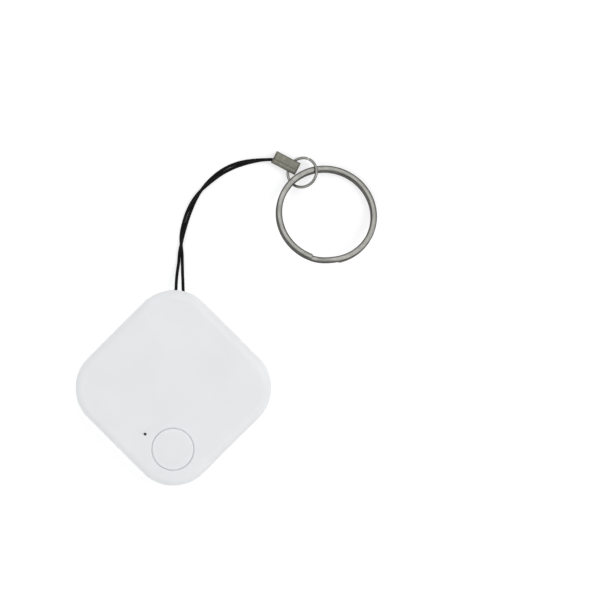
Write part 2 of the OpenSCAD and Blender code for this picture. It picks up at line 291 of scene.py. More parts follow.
def turned_metal(name, colour, roughness, centre=(0.0, 0.0), plus_at=None):
    """Plated sheet spun about a vertical axis: fine rings round the centre."""
    f = Finish(name, colour, roughness, 1.0)
    across = f.x - centre[0]
    along = f.y - centre[1]
    radius = (across * across + along * along).root()
    rings = f.noise(0.12, 4.0, place=f.join(radius * MM, f.z * MM, 0.0), roughness=0.7)
    cloud = f.noise(2.5, 3.0)
    rubbed = f.scratches(5.0, 0.3)
    tone = f.blend(cloud.ramp(0.4, 0.75), colour, shaded(colour, 0.88))
    tone = f.blend((rings - 0.5).size() * 1.5, tone, shaded(colour, 0.8))
    f.set("Base Color", f.blend(rubbed * 0.4, tone, shaded(colour, 1.25)))
    f.set("Roughness", roughness + 0.08 * cloud + 0.35 * (rings - 0.5))
    f.bump(rings - f.plus_sign(plus_at) * 6.0 if plus_at else rings, 0.004, 0.5)
    return f


# ---------------------------------------------------------------- meshes


def new_piece(name, points, faces, finish, body, smooth=True, uv=None):
    """A mesh piece in the row frame that rides on a body."""
    mesh = bpy.data.meshes.new(name)
    mesh.from_pydata([tuple(p) for p in points], [], faces)
    mesh.validate()
    if uv:
        layer = mesh.uv_layers.new(name="UVMap")
        for loop in mesh.loops:
            layer.data[loop.index].uv = uv[loop.vertex_index]
    for polygon in mesh.polygons:
        polygon.use_smooth = smooth
    mesh.materials.append(finish.material)
    piece = bpy.data.objects.new(name, mesh)
    bpy.context.scene.collection.objects.link(piece)
    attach(piece, body)
    return piece


def crisp(piece, angle=35):
    """Smooth shading with sharp edges kept where faces meet steeply."""
    mesh = piece.data
    made = bmesh.new()
    made.from_mesh(mesh)
    for edge in made.edges:
        if len(edge.link_faces) == 2:
            edge.smooth = edge.calc_face_angle(0.0) < math.radians(angle)
    made.to_mesh(mesh)
    made.free()


def rings_to_faces(rings, sides):
    """Faces of a tube made of rings of points, with a cap on each end."""
    faces = []
    for i in range(rings - 1):
        a, b = i * sides, (i + 1) * sides
        for k in range(sides):
            k2 = (k + 1) % sides
            faces.append((a + k, a + k2, b + k2, b + k))
    faces.append(tuple(reversed(range(sides))))
    faces.append(tuple(range((rings - 1) * sides, rings * sides)))
    return faces


def prism_faces(count):
    """Faces between two copies of an outline of count points, and its two ends."""
    return [tuple(range(count)), tuple(reversed(range(count, 2 * count)))] + [
        (k, count + k, count + (k + 1) % count, (k + 1) % count) for k in range(count)
    ]


def turn_outward(mesh):
    """Makes all of a closed mesh's faces look outward."""
    made = bmesh.new()
    made.from_mesh(mesh)
    bmesh.ops.recalc_face_normals(made, faces=made.faces)
    made.to_mesh(mesh)
    made.free()


def rounded_box(low, high, radius, segments=3):
    """A box with rounded edges, as points and faces."""
    made = bmesh.new()
    bmesh.ops.create_cube(made, size=1.0)
    size = Vector(high) - Vector(low)
    middle = (Vector(high) + Vector(low)) / 2
    for v in made.verts:
        v.co = Vector(c * s for c, s in zip(v.co, size)) + middle
    bmesh.ops.bevel(
        made, geom=list(made.edges), offset=radius, segments=segments, profile=0.5,
        affect="EDGES",
    )
    points = [v.co.copy() for v in made.verts]
    faces = [tuple(v.index for v in f.verts) for f in made.faces]
    made.free()
    return points, faces


def gather(pieces):
    """Several (points, faces) lists as one."""
    points, faces = [], []
    for p, f in pieces:
        base = len(points)
        points += p
        faces += [tuple(i + base for i in face) for face in f]
    return points, faces


# ---------------------------------------------------------------- settings


class CaseSettings(bpy.types.PropertyGroup):
    shell_colour: bpy.props.FloatVectorProperty(
        name="Shell colour", description="Colour of the moulded case", subtype="COLOR",
        size=3, min=0, max=1, default=(0.83, 0.84, 0.85),
    )
    shell_roughness: bpy.props.FloatProperty(
        name="Shell roughness", description="How matte the case is", min=0, max=1,
        default=0.5, subtype="FACTOR",
    )
    board_colour: bpy.props.FloatVectorProperty(
        name="Board colour", description="Colour of the circuit board's mask",
        subtype="COLOR", size=3, min=0, max=1, default=(0.02, 0.13, 0.07),
    )


class CordSettings(bpy.types.PropertyGroup):
    diameter: bpy.props.FloatProperty(
        name="Diameter", description="Diameter of one strand of cord",
        default=0.00075, unit="LENGTH", precision=5, min=0.0003, max=0.002,
    )
    colour: bpy.props.FloatVectorProperty(
        name="Colour", description="Colour of the cord's yarn", subtype="COLOR",
        size=3, min=0, max=1, default=(0.0035, 0.0035, 0.004),
    )
    yarns: bpy.props.IntProperty(
        name="Yarns", description="Yarns that run each way round the braid",
        default=6, min=3, max=12,
    )


class RingSettings(bpy.types.PropertyGroup):
    metal_colour: bpy.props.FloatVectorProperty(
        name="Metal colour", description="Colour of the plated rings", subtype="COLOR",
        size=3, min=0, max=1, default=(0.27, 0.266, 0.245),
    )
    crimp_colour: bpy.props.FloatVectorProperty(
        name="Crimp colour", description="Colour of the crimp", subtype="COLOR",
        size=3, min=0, max=1, default=(0.30, 0.296, 0.245),
    )
    roughness: bpy.props.FloatProperty(
        name="Roughness", description="How dull the metal is", min=0, max=1,
        default=0.32, subtype="FACTOR",
    )


class StageSettings(bpy.types.PropertyGroup):
    floor_colour: bpy.props.FloatVectorProperty(
        name="Floor colour", description="Colour of the table", subtype="COLOR",
        size=3, min=0, max=1, default=(0.5, 0.5, 0.5),
    )
    key_power: bpy.props.FloatProperty(
        name="Key light", description="Power of the main soft light in watts",
        default=2.02, min=0, max=200, unit="POWER",
    )
    lens: bpy.props.FloatProperty(
        name="Lens", description="Focal length of the camera in millimetres",
        default=135.0, min=20, max=300, unit="CAMERA",
    )


# ---------------------------------------------------------------- stage

# Middle of the view on the table, the height it is sized at, and its width.
VIEW_MIDDLE = (0.03225, 0.02032)
VIEW_HEIGHT = 0.0045
VIEW_WIDTH = 0.1497
# The floor lies a hair below the table's plane, so the two never share a face.
FLOOR_Z = -5e-5
LAMP_SIZE = 0.5


class TAG_OT_stage(bpy.types.Operator):
    """Pale floor, soft studio lights and the camera"""

    bl_idname = "tracker_tag.stage"
    bl_label = "Make Stage"

    def execute(self, context):
        settings = context.scene.tag_stage
        scene = context.scene
        scene.view_settings.view_transform = "Standard"
        self.floor(settings)
        self.lights(scene, settings)
        self.camera(scene, settings)
        return {"FINISHED"}

    def floor(self, settings):
        finish = Finish("floor_paper", tuple(settings.floor_colour), 0.9)
        fine = finish.noise(1.5, 3.0)
        tone = tuple(settings.floor_colour)
        finish.set("Base Color", finish.blend(fine, shaded(tone, 0.995), tone))
        # The lamps fade with distance, so the paper glows a little more out there.
        reach = (finish.x * finish.x + finish.y * finish.y).root()
        far = reach.ramp(150.0, 900.0)
        finish.set("Emission Color", finish.blend(far, (0.6, 0.6, 0.6), (0.85, 0.85, 0.85)))
        finish.set("Emission Strength", 1.0)
        under = finish.add("ShaderNodeNewGeometry", out="Backfacing")
        finish.set("Alpha", 1.0 - under)
        # Square rings, small near the tag, so that thin contact gaps stay exact.
        halves = (0.04, 0.12, 0.4, 1.5, 6.0, 25.0)
        points = [
            (x * half, y * half, FLOOR_Z)
            for half in halves for x, y in ((-1, -1), (1, -1), (1, 1), (-1, 1))
        ]
        faces = [(0, 1, 2, 3)]
        for ring in range(len(halves) - 1):
            base = 4 * ring
            faces += [
                (base + k, base + 4 + k, base + 4 + (k + 1) % 4, base + (k + 1) % 4)
                for k in range(4)
            ]
        mesh = bpy.data.meshes.new("floor")
        mesh.from_pydata(points, [], faces)
        mesh.materials.append(finish.material)
        floor = bpy.data.objects.new("floor", mesh)
        bpy.context.scene.collection.objects.link(floor)

    def lights(self, scene, settings):
        # A grey room with a pale band at the horizon, where the paper ends.
        world = bpy.data.worlds.new("studio")
        world.use_nodes = True
        sky = Sheet(world.node_tree, "Background")
        height = sky.split(sky.add("ShaderNodeTexCoord", out="Generated"))[2]
        band = (0.03, (1.0, 1.0, 1.0)), (0.14, (0.405, 0.41, 0.415))
        sky.set("Color", sky.add("ShaderNodeValToRGB", {"stops": band}, {0: height}))
        scene.world = world
        aim = Vector((VIEW_MIDDLE[0], VIEW_MIDDLE[1], 0.0))
        # Each lamp's place, and its power as a share of the key light's.
        rows = (
            ("key_light", (0.50, 0.16, 0.65), 1.0),
            ("left_light", (-0.48, -0.05, 0.65), 0.55),
            ("front_light", (0.05, -0.50, 0.65), 0.5),
            ("back_light", (0.1, 0.55, 0.65), 0.5),
        )
        for name, place, share in rows:
            light = bpy.data.lights.new(name, "AREA")
            light.shape = "DISK"
            light.size = LAMP_SIZE
            light.energy = settings.key_power * share
            lamp = bpy.data.objects.new(name, light)
            lamp.location = place
            lamp.rotation_mode = "QUATERNION"
            lamp.rotation_quaternion = (aim - Vector(place)).to_track_quat("-Z", "Y")
            scene.collection.objects.link(lamp)

    def camera(self, scene, settings):
        data = bpy.data.cameras.new("camera")
        data.lens = settings.lens
        data.sensor_width = 36.0
        data.clip_start = 0.01
        data.clip_end = 200.0
        camera = bpy.data.objects.new("camera", data)
        camera.location = (
            VIEW_MIDDLE[0], VIEW_MIDDLE[1],
            VIEW_HEIGHT + VIEW_WIDTH * settings.lens / data.sensor_width,
        )
        scene.collection.objects.link(camera)
        scene.camera = camera


# ---------------------------------------------------------------- cord

# The middle line of the two strands, from the post in the case to the crimp:
# x, y, z of the lower strand and half the gap in metres, then the turn of the
# pair in degrees. It is the same line as in the part's source.
PAIR_LINE = [
    (0.0014, 0.0186, 0.0034, 0.00153, 0),
    (0.0014, 0.0202, 0.0034, 0.00144, 0),
    (0.0014, 0.0222, 0.0034, 0.00106, 0),
    (0.0014, 0.0242, 0.00338, 0.00088, 0),
    (0.0014, 0.0262, 0.0030, 0.0008, 0),
    (0.0014, 0.0280, 0.0022, 0.00068, 0),
    (0.00145, 0.0296, 0.0013, 0.00055, 0),
    (0.0015, 0.0313, 0.00065, 0.00042, 0),
    (0.00155, 0.0332, 0.00044, 0.0004, 40),
    (0.00165, 0.0352, 0.0004, 0.0004, 90),
    (0.0019, 0.0376, 0.0004, 0.0004, 135),
    (0.0025, 0.0402, 0.0004, 0.0004, 165),
    (0.0034, 0.0430, 0.0004, 0.0004, 190),
    (0.0048, 0.0460, 0.0004, 0.0004, 230),
    (0.0065, 0.0485, 0.0004, 0.0004, 270),
    (0.0088, 0.0509, 0.0004, 0.0004, 315),
    (0.0116, 0.0531, 0.0004, 0.0004, 345),
    (0.0145, 0.0546, 0.0004, 0.0004, 375),
    (0.0174, 0.0555, 0.0004, 0.0004, 405),
    (0.0202, 0.0560, 0.00043, 0.0004, 435),
    (0.0224, 0.0562, 0.00055, 0.0004, 450),
    (0.0242, 0.0562, 0.00063, 0.0004, 450),
    (0.02505, 0.05588, 0.00063, 0.0004, 450),
    (0.02605, 0.05535, 0.00063, 0.0004, 450),
    (0.02729, 0.0547, 0.00063, 0.0004, 450),
]
PAIR_LAST = len(PAIR_LINE) - 1
POST = (0.0014, 0.0186)


def pair_row(i):
    """Row i of the middle line, carried on straight past its two ends."""
    if i < 0:
        return [2 * a - b for a, b in zip(PAIR_LINE[0], PAIR_LINE[1])]
    if i > PAIR_LAST:
        return [2 * a - b for a, b in zip(PAIR_LINE[-1], PAIR_LINE[-2])]
    return PAIR_LINE[i]


def pair_at(u):
    """The middle line at u, a smooth blend of its rows."""
    i = min(int(u), PAIR_LAST - 1)
    t = u - i
    rows = [pair_row(i + k) for k in (-1, 0, 1, 2)]
    return [
        0.5 * (2 * b + (c - a) * t + (2 * a - 5 * b + 4 * c - d) * t * t
               + (3 * b - a - 3 * c + d) * t ** 3)
        for a, b, c, d in zip(*rows)
    ]


def strand_point(u, side, rise):
    """Where one strand is at u: the upper one of a crossing rises over the other."""
    p = pair_at(u)
    ahead, behind = pair_at(min(u + 0.01, PAIR_LAST)), pair_at(max(u - 0.01, 0))
    dx, dy = ahead[0] - behind[0], ahead[1] - behind[1]
    length = math.hypot(dx, dy)
    turn = math.radians(p[4])
    reach = side * p[3] * math.cos(turn)
    return Vector((
        p[0] - dy / length * reach,
        p[1] + dx / length * reach,
        p[2] + rise * max(0.0, side * math.sin(turn)),
    ))


def strand_path(side, rise, step):
    """One strand from the back of the post to the crimp, evenly spaced."""
    bend = PAIR_LINE[0][3]
    rough = [
        Vector((POST[0] + bend * math.cos(a), POST[1] + bend * math.sin(a), PAIR_LINE[0][2]))
        for a in (math.radians(270 - side * 90 * k / 12) for k in range(12))
    ]
    rough += [strand_point(PAIR_LAST * k / 600, side, rise) for k in range(601)]
    path, spare = [rough[0]], 0.0
    for a, b in zip(rough, rough[1:]):
        length = (b - a).length
        at = step - spare
        while at <= length:
            path.append(a.lerp(b, at / length))
            at += step
        spare = length - (at - step)
    return path


class TAG_OT_lanyard(bpy.types.Operator):
    """The two braided strands of the cord, twisted together to the crimp"""

    bl_idname = "tracker_tag.lanyard"
    bl_label = "Make Lanyard Cord"

    sides = 30
    step = 0.00007
    # Length in which a yarn goes once round, and the braid's depth: the least
    # radius, how far a yarn stands up, and how far one that passes over does.
    lay = 0.0019
    valley, ridge_height, passing_over = 0.92, 0.14, 0.35

    def execute(self, context):
        settings = context.scene.tag_cord
        material = self.yarn(settings)
        rise = settings.diameter + 0.00001
        for side, name in ((1, "lanyard_strand_left"), (-1, "lanyard_strand_right")):
            path = strand_path(side, rise, self.step)
            piece = self.braid(name, path, settings, material)
            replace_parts(piece, "lanyard_cord")
            context.scene[name + "_path"] = [c for p in path[::6] + [path[-1]] for c in p]
        return {"FINISHED"}

    def yarn(self, settings):
        colour = tuple(settings.colour)
        f = Finish("black_yarn", colour, 0.72, fixed={
            "Specular IOR Level": 0.15, "Sheen Weight": 0.02, "Sheen Roughness": 0.5,
        })
        fibre = f.noise(0.03, 3.0, roughness=0.7)
        worn = f.noise(2.2, 2.0)
        tone = f.blend(fibre.ramp(0.35, 0.75), shaded(colour, 0.6), shaded(colour, 2.0))
        f.set("Base Color", f.blend(worn.ramp(0.55, 0.8) * 0.4, tone, shaded(colour, 2.6)))
        f.set("Roughness", 0.62 + 0.22 * fibre)
        f.bump(fibre, 0.01, 0.7)
        return f

    def braid(self, name, path, settings, material):
        """A tube whose surface carries yarns crossing over and under."""
        radius = settings.diameter / 2
        yarns = settings.yarns
        points, uv = [], []
        run = 0.0
        count = len(path)
        for i, p in enumerate(path):
            tangent = (path[min(i + 1, count - 1)] - path[max(i - 1, 0)]).normalized()
            across = Vector((0, 0, 1)).cross(tangent).normalized()
            up = tangent.cross(across)
            if i:
                run += (p - path[i - 1]).length
            for k in range(self.sides):
                a = 2 * math.pi * k / self.sides
                twist = 2 * math.pi * run / self.lay
                one = yarns * (a + twist)
                two = yarns * (a - twist)
                over = math.cos((one + two) / 2) * math.cos((one - two) / 2)
                ridge = max(abs(math.cos(one / 2)) * (1 + self.passing_over * over),
                            abs(math.cos(two / 2)) * (1 - self.passing_over * over))
                r = radius * (self.valley + self.ridge_height * min(1.0, ridge) ** 2)
                points.append(p + r * (math.cos(a) * across + math.sin(a) * up))
                uv.append((k / self.sides, run / MM))
        return new_piece(name, points, rings_to_faces(count, self.sides), material,
                         "rear_case", uv=uv)


# ---------------------------------------------------------------- crimp

CRIMP_AT = (0.0246, 0.0569, 0.0)
CRIMP_TURN = math.radians(-27.6)
CRIMP_LENGTH, CRIMP_WIDTH, CRIMP_HEIGHT = 0.0066, 0.0032, 0.00205
SHEET = 0.00026
SEAM_Y = -0.00044
# The slot the link ring turns in: along the crimp, above the table, its round
# ends' radius and half the distance between them.
EYE_X, EYE_Z, EYE_RADIUS, EYE_HALF_SLOT = 0.0045, 0.0011, 0.00065, 0.0004
# Where the tool pressed the sleeve, how deep, and how wide each mark is.
PINCH_AT, PINCH_DEPTH, PINCH_WIDTH = (0.0012, 0.0026), 0.00006, 0.00035


def rounded_outline(half_w, low, high, radius, segments=6):
    """Corner points of a rounded rectangle in the crimp's cross plane."""
    corners = [(half_w - radius, low + radius, -90), (half_w - radius, high - radius, 0),
               (-half_w + radius, high - radius, 90), (-half_w + radius, low + radius, 180)]
    return [
        (cy + radius * math.cos(math.radians(start + 90 * k / segments)),
         cz + radius * math.sin(math.radians(start + 90 * k / segments)))
        for cy, cz, start in corners for k in range(segments + 1)
    ]


class TAG_OT_crimp(bpy.types.Operator):
    """The folded sheet sleeve that grips the cord's ends"""

    bl_idname = "tracker_tag.crimp"
    bl_label = "Make Crimp"

    def execute(self, context):
        settings = context.scene.tag_rings
        material = self.metal(tuple(settings.crimp_colour), settings.roughness + 0.08)
        section = self.section()
        points = []
        steps = 26
        for i in range(steps + 1):
            x = CRIMP_LENGTH * i / steps
            pinch = 0.0
            for at in PINCH_AT:
                pinch += PINCH_DEPTH * math.exp(-((x - at) / PINCH_WIDTH) ** 2)
            flare = 0.00003 * math.exp(-(x / 0.0003) ** 2)
            for y, z in section:
                middle = CRIMP_HEIGHT / 2
                share = (z - middle) / middle
                side = y / (CRIMP_WIDTH / 2)
                points.append(Vector((x, y + side * flare, z - share * pinch)))
        faces = rings_to_faces(steps + 1, len(section))
        place = Matrix.Translation(CRIMP_AT) @ Matrix.Rotation(CRIMP_TURN, 4, "Z")
        piece = new_piece("crimp_sleeve", [place @ p for p in points], faces, material,
                          "rear_case")
        self.cut_eye(piece, place)
        crisp(piece, 30)
        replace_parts(piece, "cord_crimp")
        return {"FINISHED"}

    def metal(self, colour, roughness):
        """Rolled sheet, darker near its outline in plan: painted shade on its rounded sides."""
        f = Finish("crimp_nickel", colour, roughness, 1.0)
        turn = math.degrees(CRIMP_TURN)
        c, n = math.cos(CRIMP_TURN), math.sin(CRIMP_TURN)
        middle = (CRIMP_AT[0] / MM + CRIMP_LENGTH / MM / 2 * c,
                  CRIMP_AT[1] / MM + CRIMP_LENGTH / MM / 2 * n)
        half = (CRIMP_LENGTH / MM / 2, CRIMP_WIDTH / MM / 2)
        edge = f.box_edge(middle, half, turn)
        lines = f.noise(0.25, 4.0, stretch=(5, 5, 1), roughness=0.7)
        cloud = f.noise(0.8, 4.0, roughness=0.65)
        tone = f.blend(cloud.ramp(0.35, 0.75), shaded(colour, 1.05), shaded(colour, 0.85))
        # Painted shade: darkening starts 0.65 mm inside the outline in plan and is full near it,
        # where the sheet rounds over.
        worn = f.blend(edge.ramp(-0.65, -0.1) * 0.85, tone, shaded(colour, 0.4))
        rubbed = f.scratches(3.0, 0.25)
        f.set("Base Color", f.blend(rubbed * 0.25, worn, shaded(colour, 1.6)))
        f.set("Roughness", roughness - 0.05 + 0.1 * cloud + 0.25 * (lines - 0.5))
        f.bump(lines - rubbed * 0.4, 0.01, 0.6)
        return f

    def section(self):
        """Sheet folded into a flat tube, its two edges meeting on top."""
        outer = rounded_outline(CRIMP_WIDTH / 2, 0.0, CRIMP_HEIGHT, 0.00045)
        inner = rounded_outline(CRIMP_WIDTH / 2 - SHEET, SHEET, CRIMP_HEIGHT - SHEET, 0.0002)
        gap = 0.00005

        def opened(loop, top):
            # Start just left of the seam, go round, end just right of it.
            left = [p for p in loop if p[1] >= top - 1e-9 and p[0] < SEAM_Y - gap]
            start = loop.index(max(left, key=lambda p: p[0])) if left else 0
            turned = loop[start:] + loop[:start]
            return [(SEAM_Y - gap, top)] + turned + [(SEAM_Y + gap, top)]

        ring = opened(outer, CRIMP_HEIGHT)
        hole = opened(inner, CRIMP_HEIGHT - SHEET)
        # The two folded edges dip a little into the seam.
        ring[0] = (ring[0][0], ring[0][1] - 0.00004)
        ring[-1] = (ring[-1][0], ring[-1][1] - 0.00004)
        return ring + hole[::-1]

    def cut_eye(self, piece, place):
        """Cuts the cross hole that the link ring turns in."""
        outline = []
        for cx, start in ((EYE_HALF_SLOT, -90), (-EYE_HALF_SLOT, 90)):
            outline += [
                (EYE_X + cx + EYE_RADIUS * math.cos(math.radians(start + 180 * k / 14)),
                 EYE_Z + EYE_RADIUS * math.sin(math.radians(start + 180 * k / 14)))
                for k in range(15)
            ]
        points = [place @ Vector((x, y, z)) for y in (-0.003, 0.003) for x, z in outline]
        mesh = bpy.data.meshes.new("eye_cutter")
        mesh.from_pydata([tuple(p) for p in points], [], prism_faces(len(outline)))
        turn_outward(mesh)
        turn_outward(piece.data)
        cutter = bpy.data.objects.new("eye_cutter", mesh)
        bpy.context.scene.collection.objects.link(cutter)
        cut = piece.modifiers.new("eye", "BOOLEAN")
        cut.operation = "DIFFERENCE"
        cut.solver = "EXACT"
        cut.object = cutter
        shaped = bpy.data.meshes.new_from_object(
            piece.evaluated_get(bpy.context.evaluated_depsgraph_get()))
        piece.modifiers.clear()
        piece.data = shaped
        bpy.data.objects.remove(cutter)
        for polygon in shaped.polygons:
            polygon.use_smooth = True


# ---------------------------------------------------------------- rings

KEY_RING_RADIUS, COIL_WIDTH, COIL_THICK, COIL_STEP = 0.0125, 0.0015, 0.00086, 0.0009
KEY_RING_AT = (0.0375, 0.0425)
KEY_RING_TILT, KEY_RING_RISE = math.radians(17.5), math.radians(243)
LINK_EYE = (0.0286, 0.0548, 0.0010)
COIL_TURN = 688
# A coil's corners: 1 is an ellipse, and less is squarer.
COIL_CORNER = 0.6
LINK_RADIUS, LINK_WIRE, LINK_SWEEP = 0.0037, 0.00035, 356
LINK_YAW, LINK_PITCH = math.radians(-32), math.radians(-20.5)


class TAG_OT_rings(bpy.types.Operator):
    """The thin link ring and the two-coil key ring"""

    bl_idname = "tracker_tag.rings"
    bl_label = "Make Rings"

    def execute(self, context):
        settings = context.scene.tag_rings
        colour = tuple(settings.metal_colour)
        # The last two numbers of each wire set the painted shade on its sides: how dark the sides
        # get, and how far from the middle it starts.
        wire = self.wire_metal("link_nickel", shaded(colour, 1.2), settings.roughness, 0.6, 0.4)
        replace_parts(self.link(wire), "link_ring")
        coil = self.wire_metal("key_ring_nickel", colour, settings.roughness, 0.3, 0.08)
        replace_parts(self.split_ring(coil), "split_ring")
        return {"FINISHED"}

    def wire_metal(self, name, colour, roughness, painted_rim_shade, reach):
        """Drawn wire: lines run along it; its two sides are painted darker, a painted reflection
        of dark surroundings.
        """
        f = Finish(name, colour, roughness, 1.0)
        uv = f.add("ShaderNodeTexCoord", out="UV")
        stretch = f.add("ShaderNodeVectorMath", {"operation": "MULTIPLY"},
                        {0: uv, 1: (30.0, 0.25, 1.0)})
        lines = f.add("ShaderNodeTexNoise", None,
                      {"Vector": stretch, "Scale": 1.0, "Detail": 4.0, "Roughness": 0.7})
        across = f.split(uv)[0]
        # Painted shade mask: 0 in the middle of the wire's section, 1 on its two sides.
        side = ((across - 0.5).size() * 2.0).ramp(reach, 0.8)
        cloud = f.noise(1.8, 3.0)
        nicks = f.cells(0.6).ramp(0.0, 0.12)
        tone = f.blend(cloud.ramp(0.4, 0.75), shaded(colour, 1.25), shaded(colour, 1.05))
        tone = f.blend(lines.ramp(0.5, 0.72) * 0.4, tone, shaded(colour, 0.6))
        # The sides are darkened: painted shade standing for dark surroundings reflected there.
        tone = f.blend(side, tone, shaded(colour, painted_rim_shade))
        rubbed = f.scratches(4.0, 0.3)
        tone = f.blend(rubbed * 0.12, tone, shaded(colour, 1.8))
        f.set("Base Color", f.blend((1.0 - nicks) * 0.35, tone, shaded(colour, 0.5)))
        f.set("Roughness", roughness + 0.1 * cloud.ramp(0.35, 0.8) + 0.3 * (lines - 0.5))
        f.bump(lines * 0.7 + nicks * 0.3 - rubbed * 0.3, 0.012, 0.6)
        return f

    def link(self, finish):
        """Thin wire bent round to a ring, its two cut ends a little apart."""
        steps, sides = 240, 18
        points, uv = [], []
        for i in range(steps + 1):
            a = math.radians(LINK_SWEEP * i / steps)
            ends = min(i, steps - i)
            size = (0.72, 0.93)[ends] if ends < 2 else 1.0
            for k in range(sides):
                t = 2 * math.pi * k / sides
                r = LINK_RADIUS + LINK_WIRE * size * math.cos(t)
                points.append(Vector((r * math.cos(a), r * math.sin(a),
                                      LINK_WIRE * size * math.sin(t))))
                uv.append((0.5 + 0.5 * math.cos(t), a * LINK_RADIUS / MM))
        place = (
            Matrix.Translation(LINK_EYE)
            @ Matrix.Rotation(LINK_YAW, 4, "Z")
            @ Matrix.Rotation(LINK_PITCH, 4, "Y")
            @ Matrix.Translation((LINK_RADIUS, 0, 0))
            @ Matrix.Rotation(math.radians(100), 4, "Z")
        )
        faces = rings_to_faces(steps + 1, sides)
        return new_piece("link_wire", [place @ p for p in points],
                         [tuple(reversed(f)) for f in faces], finish, "link",
                         uv=uv)

    def coil_height(self, degrees):
        """The wire steps up from the lower coil to the upper near the end of a turn."""
        t = min(1.0, max(0.0, (degrees - 330) / 27))
        return COIL_STEP * (t * t * (3 - 2 * t) - 0.5)

    def split_ring(self, material):
        """Flattened wire wound nearly twice round, one coil on the other."""
        steps, sides = 620, 24
        middle = KEY_RING_RADIUS - COIL_WIDTH / 2
        points, uv = [], []
        for i in range(steps + 1):
            degrees = COIL_TURN * i / steps
            a = math.radians(degrees)
            # The cut ends are dressed round, so they don't catch a nail.
            ends = min(i, steps - i) * COIL_TURN / steps
            size = 1.0 - 0.22 * max(0.0, 1.0 - ends / 2.2) ** 2
            for k in range(sides):
                t = 2 * math.pi * k / sides
                c, s = math.cos(t), math.sin(t)
                across = math.copysign(abs(c) ** COIL_CORNER, c) * COIL_WIDTH / 2 * size
                up = math.copysign(abs(s) ** COIL_CORNER, s) * COIL_THICK / 2 * size
                r = middle + across
                points.append(Vector((r * math.cos(a), r * math.sin(a),
                                      self.coil_height(degrees) + up)))
                uv.append((0.5 + 0.5 * math.cos(t), a * middle / MM))
        lean = KEY_RING_RADIUS * math.sin(KEY_RING_TILT) + COIL_STEP * math.cos(KEY_RING_TILT)
        place = (
            Matrix.Translation((*KEY_RING_AT, lean))
            @ Matrix.Rotation(KEY_RING_RISE, 4, "Z")
            @ Matrix.Rotation(-KEY_RING_TILT, 4, "Y")
            @ Matrix.Rotation(math.radians(40), 4, "Z")
        )
        faces = rings_to_faces(steps + 1, sides)
        return new_piece("key_ring_coil", [place @ p for p in points],
                         [tuple(reversed(f)) for f in faces], material, "key_ring",
                         uv=uv)


def dress(node, finish):
    """Gives a CAD node its finish."""
    slots = NODES[node].material_slots
    if not slots:
        NODES[node].data.materials.append(finish.material)
    for slot in slots:
        slot.material = finish.material


class TAG_OT_declare(bpy.types.Operator):
    bl_idname = "tracker_tag.declare_cords"
    bl_label = "Declare Cords"

    def execute(self, context):
        return {"FINISHED"}


# ---------------------------------------------------------------- case

BUTTON_AT = (0.0, -14.9)
# The gap round the button in millimetres: its two radii, its floor, and the
# heights between which the painted glow in it fades out.
GAP_INNER, GAP_OUTER, GAP_FLOOR, GAP_FADE = 4.97, 5.33, 5.8, (7.05, 7.3)


class TAG_OT_case(bpy.types.Operator):
    """Finishes of the two shells and the button"""

    bl_idname = "tracker_tag.case"
    bl_label = "Finish Case"

    def painted_gap_glow(self, f):
        """Painted glow on the walls of the button's gap, standing in for light through its thin
        white walls; it fades out near the top face.
        """
        dx, dy = f.x - BUTTON_AT[0], f.y - BUTTON_AT[1]
        radius = (dx * dx + dy * dy).root()
        inside = (radius > GAP_INNER) * (radius < GAP_OUTER) * (f.z > GAP_FLOOR)
        deep = 1.0 - f.z.ramp(*GAP_FADE)
        # Painted light: a faint grey emission where the gap's walls would be dark.
        f.set("Emission Color", f.blend(inside * deep, (0, 0, 0), (0.115, 0.117, 0.119)))

    def execute(self, context):
        settings = context.scene.tag_case
        colour = tuple(settings.shell_colour)
        # Subsurface light for the milky plastic, and emission strength for the painted glow in the
        # button's gap.
        milky_and_glow = {
            "Specular IOR Level": 0.25, "Subsurface Weight": 0.6, "Subsurface Scale": 0.0009,
            "Subsurface Radius": (1.0, 1.0, 1.0), "Emission Strength": 1.0,
        }
        shell = moulded_plastic("white_shell", colour, settings.shell_roughness, fixed=milky_and_glow)
        button = moulded_plastic("white_button", shaded(colour, 1.005),
                                 settings.shell_roughness - 0.03, grain=0.07, fixed=milky_and_glow)
        # Both finishes carry the painted glow in the button's gap.
        for f in (shell, button):
            self.painted_gap_glow(f)
        dress("rear_shell", shell)
        dress("front_shell", shell)
        dress("button_cap", button)
        return {"FINISHED"}


# ---------------------------------------------------------------- electronics

BOARD_TOP = 2.6
# Above and below these heights a point is on the board's faces, not its edge.
TOP_FACE, UNDER_FACE = 2.59, 2.01
CELL_AT = (0.0, 3.0)


class TAG_OT_cell(bpy.types.Operator):
    """Finishes of the coin cell and its contacts"""

    bl_idname = "tracker_tag.cell"
    bl_label = "Finish Coin Cell"

    def execute(self, context):
        can = turned_metal("cell_can_steel", (0.66, 0.66, 0.64), 0.26, CELL_AT, (0.0, 8.6))
        cap = turned_metal("cell_cap_steel", (0.60, 0.60, 0.58), 0.34, CELL_AT)
        seal = moulded_plastic("cell_seal", (0.03, 0.03, 0.032), 0.55)
        gold = plated_metal("contact_gold", (0.86, 0.66, 0.32), 0.24, (1, 8, 1), 0.08, 0.12)
        dress("battery_can", can)
        dress("battery_cap", cap)
        dress("battery_grommet", seal)
        dress("negative_contact", gold)
        dress("positive_contacts", gold)
        dress("buzzer_springs", gold)
        return {"FINISHED"}


